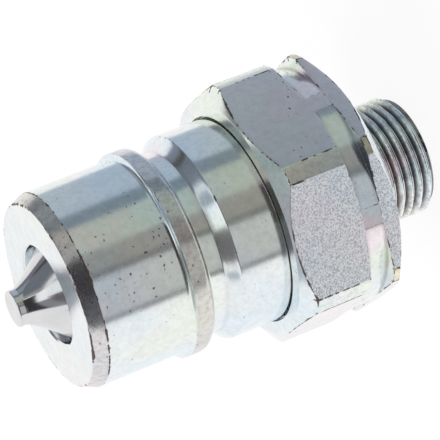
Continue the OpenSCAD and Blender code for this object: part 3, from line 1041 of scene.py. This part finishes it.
def looked_at(tree):
    """1 where the camera, a mirror or glass looks, 0 for other light."""
    path = tree.nodes.new("ShaderNodeLightPath").outputs
    return calc(tree, "MAXIMUM", path["Is Camera Ray"],
                calc(tree, "MAXIMUM", path["Is Glossy Ray"], path["Is Transmission Ray"]))


def make_world():
    """A room that is white to the eye and lights the object more softly."""
    world = bpy.data.worlds.new("white_room")
    tree = cleared_tree(world)
    level = looked_at(tree) * (1.0 - ROOM_LEVEL) + ROOM_LEVEL
    background = add(tree, "ShaderNodeBackground", {"Color": WHITE, "Strength": level})
    show(tree, background, "ShaderNodeOutputWorld")
    bpy.context.scene.world = world


def towards(azimuth, elevation):
    """The direction at two angles in degrees: from +X towards +Y, and upwards."""
    a, e = math.radians(azimuth), math.radians(elevation)
    return Vector((math.cos(a) * math.cos(e), math.sin(a) * math.cos(e), math.sin(e)))


def stage_piece(name, spots, faces):
    """An object for the stage, and the emptied tree of its own material."""
    mesh = bpy.data.meshes.new(name)
    mesh.from_pydata(spots, [], faces)
    material = bpy.data.materials.new(name)
    mesh.materials.append(material)
    return new_object(name, mesh), cleared_tree(material)


def make_floor(finish, low, size=3.0):
    """A pale floor under the stud's end that keeps the object's shadow."""
    spots = [(-size, -size, low), (size, -size, low), (size, size, low), (-size, size, low)]
    floor, tree = stage_piece("floor", spots, [(0, 1, 2, 3)])
    paint = add(tree, "ShaderNodeBsdfDiffuse", {"Color": rgba(finish.floor)})
    glow = add(tree, "ShaderNodeEmission", {"Color": WHITE, "Strength": 1.0})
    show(tree, add(tree, "ShaderNodeMixShader", {
        0: looked_at(tree) * FLOOR_GLOW, 1: paint.outputs[0], 2: glow.outputs[0],
    }))
    floor.visible_glossy = False


def make_card(name, start, end, low, high, tone):
    """A tall curved card of a light tent, seen only in reflections. Angles in degrees from
    +X towards +Y; low and high are elevations in degrees seen from the cards' centre."""
    steps = max(2, int(abs(end - start) / 4))
    rows = max(2, int((high - low) / 10))
    spots = []
    for row in range(rows + 1):
        e = low + (high - low) * row / rows
        for i in range(steps + 1):
            a = start + (end - start) * i / steps
            spots.append(towards(a, e) * CARD_REACH + Vector((0.0, 0.0, CARD_CENTRE)))
    corners = [row * (steps + 1) + i for row in range(rows) for i in range(steps)]
    faces = [(k, k + 1, k + steps + 2, k + steps + 1) for k in corners]
    card, tree = stage_piece(name, spots, faces)
    show(tree, add(tree, "ShaderNodeEmission", {"Color": rgba(tone), "Strength": 1.0}))
    card.visible_camera = card.visible_shadow = card.visible_diffuse = False


# Cards of the light tent: name, from and to in degrees round the object, from and to in
# degrees above it, and colour. White is left open between them.
CARDS = (
    ("low_blue", 67.0, 9.5, -60.0, 3.0, (0.45, 0.52, 0.60)),
    ("low_shade", 9.5, -8.5, -60.0, 3.0, (0.21, 0.26, 0.30)),
    ("low_green", -8.5, -42.0, -60.0, 3.0, (0.46, 0.51, 0.45)),
    ("low_brown", -42.0, -65.0, -60.0, 3.0, (0.33, 0.32, 0.30)),
    ("low_slit", -65.0, -72.0, -60.0, 3.0, (0.18, 0.18, 0.18)),
    ("low_grey", -72.0, -116.0, -60.0, 3.0, (0.55, 0.55, 0.57)),
    ("low_edge", -116.0, -122.5, -60.0, 3.0, (0.22, 0.23, 0.24)),
    ("middle_shade", 58.0, 40.0, 3.0, 32.0, (0.20, 0.21, 0.26)),
    ("middle_blue", 40.0, 14.0, 3.0, 32.0, (0.30, 0.34, 0.38)),
    ("middle_dark", 14.0, -2.0, 3.0, 32.0, (0.20, 0.24, 0.26)),
    ("middle_green", -2.0, -42.0, 3.0, 32.0, (0.46, 0.50, 0.46)),
    ("middle_room", -42.0, -86.0, 3.0, 32.0, (0.06, 0.055, 0.06)),
    ("middle_wall", -86.0, -126.0, 3.0, 32.0, (0.13, 0.135, 0.145)),
    ("high_wall", 64.0, 46.0, 32.0, 56.0, (0.22, 0.24, 0.27)),
    ("high_streak", 46.0, 38.0, 32.0, 50.0, (0.08, 0.07, 0.06)),
    ("high_blue", 38.0, -20.0, 32.0, 56.0, (0.18, 0.20, 0.23)),
    ("high_grey", -20.0, -36.0, 32.0, 57.0, (0.34, 0.35, 0.36)),
    ("high_light", -36.0, -82.0, 55.0, 60.0, (1.15, 1.15, 1.15)),
    ("high_dark", -40.0, -127.0, 32.0, 53.0, (0.045, 0.045, 0.05)),
    ("high_mid", -84.0, -128.0, 53.0, 60.0, (0.30, 0.31, 0.33)),
    ("top_light", -25.0, -74.0, 60.0, 76.0, (0.95, 1.0, 1.0)),
    ("top_left", 64.0, -25.0, 60.0, 76.0, (0.30, 0.35, 0.38)),
    ("top_right", -74.0, -145.0, 60.0, 76.0, (0.16, 0.15, 0.17)),
    ("top_far", -145.0, -296.0, 52.0, 76.0, (0.46, 0.50, 0.54)),
    ("top", 0.0, 360.0, 76.0, 90.0, (0.36, 0.41, 0.44)),
)


def make_lamp(name, azimuth, elevation, distance, size, power, aim):
    """A soft square lamp aimed at the object."""
    data = bpy.data.lights.new(name, "AREA")
    data.shape, data.size, data.energy = "SQUARE", size, power
    lamp = new_object(name, data)
    away = towards(azimuth, elevation)
    lamp.location = aim + away * distance
    lamp.rotation_euler = away.to_track_quat("Z", "Y").to_euler()
    lamp.visible_glossy = False


def make_camera(view):
    """The camera, rolled so that the nose points down and to the left."""
    data = bpy.data.cameras.new("camera")
    data.lens, data.sensor_width = view.lens, 36.0
    data.clip_start, data.clip_end = 0.01, 20.0
    camera = new_object("camera", data)
    back = towards(math.degrees(view.azimuth) - 90.0, math.degrees(view.elevation))
    aim = Vector((view.aim_x, view.aim_y, view.aim_z))
    turn = back.to_track_quat("Z", "Y").to_matrix().to_4x4() @ Matrix.Rotation(view.roll, 4, "Z")
    camera.matrix_world = Matrix.Translation(aim + back * view.distance) @ turn
    bpy.context.scene.camera = camera


# ---------------------------------------------------------------------------
# Operators
# ---------------------------------------------------------------------------

class COUPLING_OT_finishes(bpy.types.Operator):
    """Makes the shared shader groups and the finishes"""
    bl_idname = "coupling.finishes"
    bl_label = "Make finishes"

    def execute(self, context):
        finish = context.scene.coupling_finish
        make_sheen_group(finish)
        make_wear_and_nook_shade_group()
        make_pit_group()
        make_turning_group()
        polished_steel("polished_poppet", finish)
        polished_steel("spring_wire", finish, rough=0.25)
        seal_rubber("seal_rubber_black", finish)
        plated("guide_plate", finish, rough=0.3, rings=0.4)
        return {"FINISHED"}


class COUPLING_OT_nose_body(bpy.types.Operator):
    """Turns the nose body with its collar, locking groove and mouth"""
    bl_idname = "coupling.nose_body"
    bl_label = "Make nose body"

    def execute(self, context):
        nose, adapter, _ = sizes()
        section = body_section(nose, adapter)
        mesh = turned_mesh("nose_body", lambda angle: section, even_angles(256))
        place("nose_body", mesh, nose_materials(context.scene.coupling_finish), "housing",
              "body_plating", "plug_body")
        return {"FINISHED"}


class COUPLING_OT_adapter(bpy.types.Operator):
    """Makes the hexagon adapter and cuts the thread of its stud"""
    bl_idname = "coupling.adapter"
    bl_label = "Make adapter"

    def execute(self, context):
        nose, adapter, _ = sizes()
        finish = context.scene.coupling_finish
        mesh = turned_mesh("adapter", lambda angle: adapter_section(nose, adapter, angle),
                           adapter_angles(adapter))
        place("adapter", mesh, adapter_materials(finish), "housing", "adapter_plating", "hex_adapter")
        make_thread_tree()
        undercut = adapter.stud_length - adapter.undercut_width
        span = undercut + 2 * adapter.stud_pitch
        grown("stud_thread", "screw_thread", {
            "Radius": adapter.stud_root, "Depth": adapter.stud_radius - adapter.stud_root,
            "Pitch": adapter.stud_pitch, "Turns": span / adapter.stud_pitch, "Low": 0.0,
            "High": undercut, "Chamfer": adapter.stud_chamfer,
            "Material": thread_material(finish, adapter),
        }, "housing", "adapter_plating")
        return {"FINISHED"}


class COUPLING_OT_valve(bpy.types.Operator):
    """Turns the poppet and winds its spring"""
    bl_idname = "coupling.valve"
    bl_label = "Make valve"

    def execute(self, context):
        nose, adapter, valve = sizes()
        section = poppet_section(nose, adapter, valve)
        mesh = turned_mesh("valve_poppet", lambda angle: section, even_angles(128))
        place("valve_poppet", mesh, [bpy.data.materials["polished_poppet"]], "valve",
              "poppet_steel", "poppet")
        make_spring_tree()
        spring = grown("coil_spring", "valve_spring", {
            "Radius": valve.coil_radius, "Wire": valve.wire_radius,
            "Turns": float(valve.coil_turns), "Low": valve.spring_low,
            "High": valve.spring_high, "Material": bpy.data.materials["spring_wire"],
        }, "housing", "spring_steel", "valve_spring")
        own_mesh(spring)
        return {"FINISHED"}


class COUPLING_OT_small_parts(bpy.types.Operator):
    """Gives the seals and the guide their finishes"""
    bl_idname = "coupling.small_parts"
    bl_label = "Finish seals and guide"

    def execute(self, context):
        for node, material in (("body_seal", "seal_rubber_black"),
                               ("valve_seal", "seal_rubber_black"),
                               ("valve_guide", "guide_plate")):
            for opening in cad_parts[node].material_slots:
                opening.material = bpy.data.materials[material]
        return {"FINISHED"}


class COUPLING_OT_stage(bpy.types.Operator):
    """Sets the floor, the light tent, the lamp and the camera"""
    bl_idname = "coupling.stage"
    bl_label = "Set stage"

    def execute(self, context):
        make_world()
        make_floor(context.scene.coupling_finish, CAD_LOW.z)
        for card in CARDS:
            make_card(*card)
        aim = (CAD_LOW + CAD_HIGH) / 2
        make_lamp("key", 150.0, 55.0, 0.9, 0.7, 6.0, aim)
        make_camera(context.scene.coupling_camera)
        context.scene.view_settings.view_transform = "Standard"
        return {"FINISHED"}


STEPS = ("finishes", "nose_body", "adapter", "valve", "small_parts", "stage")


class COUPLING_PT_panel(bpy.types.Panel):
    """Lists the steps that build the coupling"""
    bl_idname = "COUPLING_PT_panel"
    bl_label = "Plug coupling"
    bl_space_type = "VIEW_3D"
    bl_region_type = "UI"
    bl_category = "Coupling"

    def draw(self, context):
        for step in STEPS:
            self.layout.operator("coupling." + step)


GROUPS = (("coupling_nose", CouplingNoseSizes), ("coupling_adapter", CouplingAdapterSizes),
          ("coupling_valve", CouplingValveSizes), ("coupling_finish", CouplingFinish),
          ("coupling_camera", CouplingCamera))
CLASSES = (COUPLING_OT_finishes, COUPLING_OT_nose_body, COUPLING_OT_adapter, COUPLING_OT_valve,
           COUPLING_OT_small_parts, COUPLING_OT_stage, COUPLING_PT_panel)


def register():
    """Adds the property groups, the operators and the panel."""
    for name, group in GROUPS:
        bpy.utils.register_class(group)
        setattr(bpy.types.Scene, name, PointerProperty(type=group))
    for cls in CLASSES:
        bpy.utils.register_class(cls)


def unregister():
    """Takes them away again, in the opposite order."""
    for cls in reversed(CLASSES):
        bpy.utils.unregister_class(cls)
    for name, group in reversed(GROUPS):
        delattr(bpy.types.Scene, name)
        bpy.utils.unregister_class(group)


def main():
    """Builds every piece and the stage."""
    register()
    for step in STEPS:
        getattr(bpy.ops.coupling, step)()


if __name__ == "__main__":
    main()
